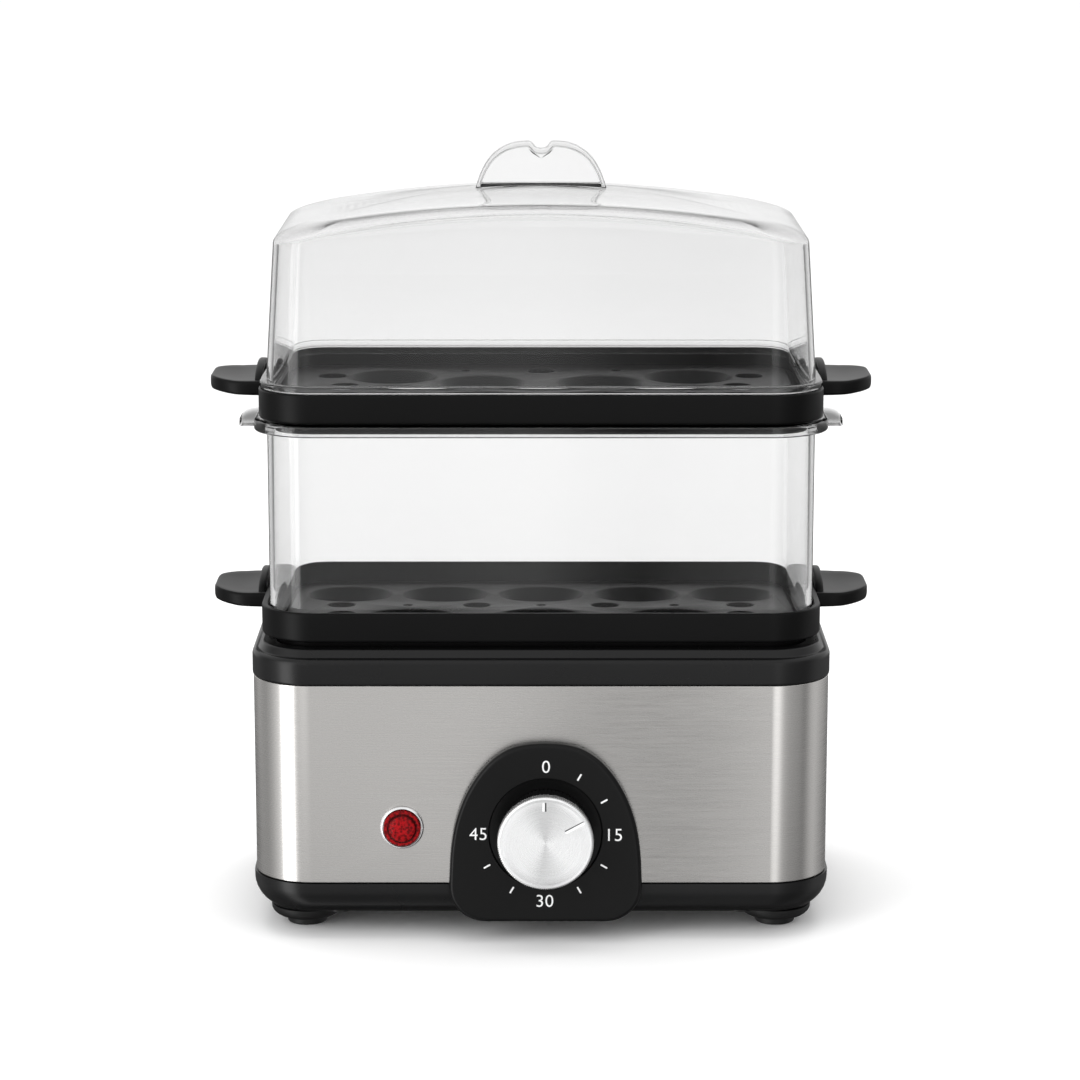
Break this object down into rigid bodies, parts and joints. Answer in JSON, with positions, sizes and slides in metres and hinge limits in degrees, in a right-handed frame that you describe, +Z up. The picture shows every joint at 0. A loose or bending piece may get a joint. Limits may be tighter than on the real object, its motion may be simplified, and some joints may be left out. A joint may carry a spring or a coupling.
{
  "type": "egg boiler",
  "caption": "Two-tier electric egg steamer: steel-wrapped heating base with a dial timer, stacked seat trays, a clear chamber and a clear lift-off lid.",
  "frame": {"origin": "on the floor under the middle of the whole part, between its front and back extremes", "axes": "+X to the right seen from the front, +Y from the front to the back, +Z up; the dial faces -Y"},
  "size_m": [0.2594, 0.1564, 0.3028],
  "materials": {
    "clear_plastic": "clear moulded plastic, polished",
    "black_plastic": "satin black moulded plastic",
    "panel_plastic": "smooth satin black plastic with a bevelled edge",
    "brushed_steel": "stainless sheet brushed along its length",
    "spun_aluminium": "spun cap with turning marks",
    "plated_steel": "zinc-plated sheet and wire",
    "coated_plate": "dark non-stick coating",
    "heater_sheath": "dull tubular heater sheath",
    "silicone": "grey silicone",
    "black_rubber": "soft black rubber",
    "red_lens": "translucent red moulded lens with prisms",
    "bezel_metal": "thin plated ring",
    "neon_glass": "small neon lamp",
    "brass": "plain brass",
    "nylon": "natural nylon",
    "bakelite": "dark brown phenolic",
    "ivory_plastic": "ivory moulded plastic",
    "brown_wire": "brown wire insulation",
    "blue_wire": "blue wire insulation"
  },
  "bodies": {
    "base": {"collar": "black_plastic", "base_pan": "black_plastic", "heating_plate": "coated_plate", "plate_seal": "silicone", "heating_element": "heater_sheath", "thermostat": "bakelite", "thermostat_bracket": "plated_steel", "thermal_fuse": "plated_steel", "heat_shield": "plated_steel", "body_shell": "brushed_steel", "control_panel": "panel_plastic", "lamp_lens": "red_lens", "lamp_bezel": "bezel_metal", "lamp_clip": "plated_steel", "neon_lamp": "neon_glass", "timer_plate": "plated_steel", "timer_case": "plated_steel", "switch_block": "bakelite", "contact_leaf_lower": "brass", "contact_leaf_upper": "brass", "timer_screw_left": "plated_steel", "timer_screw_right": "plated_steel", "cord_gland": "black_rubber", "gland_nut": "nylon", "terminal_block": "ivory_plastic", "clamp_bar_left": "plated_steel", "clamp_bar_right": "plated_steel", "clamp_nut_left": "brass", "clamp_nut_right": "brass", "shield_nut_left": "brass", "shield_nut_right": "brass", "wire_live": "brown_wire", "wire_load": "brown_wire", "wire_link": "brown_wire", "wire_heater": "brown_wire", "wire_neutral": "blue_wire", "wire_lamp_neutral": "blue_wire", "wire_lamp_live": "brown_wire", "foot_front_left": "black_rubber", "base_screw_front_left": "plated_steel", "foot_front_right": "black_rubber", "base_screw_front_right": "plated_steel", "foot_back_left": "black_rubber", "base_screw_back_left": "plated_steel", "foot_back_right": "black_rubber", "base_screw_back_right": "plated_steel"},
    "lid": {"lid": "clear_plastic"},
    "upper_tray": {"upper_tray": "black_plastic"},
    "chamber": {"steam_chamber": "clear_plastic"},
    "lower_tray": {"lower_tray": "black_plastic"},
    "knob": {"knob_cap": "spun_aluminium", "knob_body": "black_plastic", "timer_shaft": "plated_steel", "timer_wheel": "brass", "timer_cam": "nylon"},
    "pinion": {"timer_pinion": "brass"}
  },
  "joints": [
    {"name": "lower_tray_lift", "type": "slide", "parent": "base", "child": "lower_tray", "axis": [0, 0, 1], "range_m": [0, 0.06]},
    {"name": "chamber_lift", "type": "slide", "parent": "lower_tray", "child": "chamber", "axis": [0, 0, 1], "range_m": [0, 0.1]},
    {"name": "upper_tray_lift", "type": "slide", "parent": "chamber", "child": "upper_tray", "axis": [0, 0, 1], "range_m": [0, 0.06]},
    {"name": "lid_lift", "type": "slide", "parent": "upper_tray", "child": "lid", "axis": [0, 0, 1], "range_m": [0, 0.12]},
    {"name": "timer_turn", "type": "hinge", "parent": "base", "child": "knob", "pos_m": [0.0017, -0.0624, 0.0438], "axis": [0, 1, 0], "range_deg": [0, 270]},
    {"name": "pinion_turn", "type": "hinge", "parent": "base", "child": "pinion", "pos_m": [-0.01244, -0.0424, 0.05794], "axis": [0, 1, 0], "range_deg": [-1080, 0]}
  ],
  "couplings": [
    {"joint": "pinion_turn", "follows": "timer_turn", "ratio": -4}
  ]
}
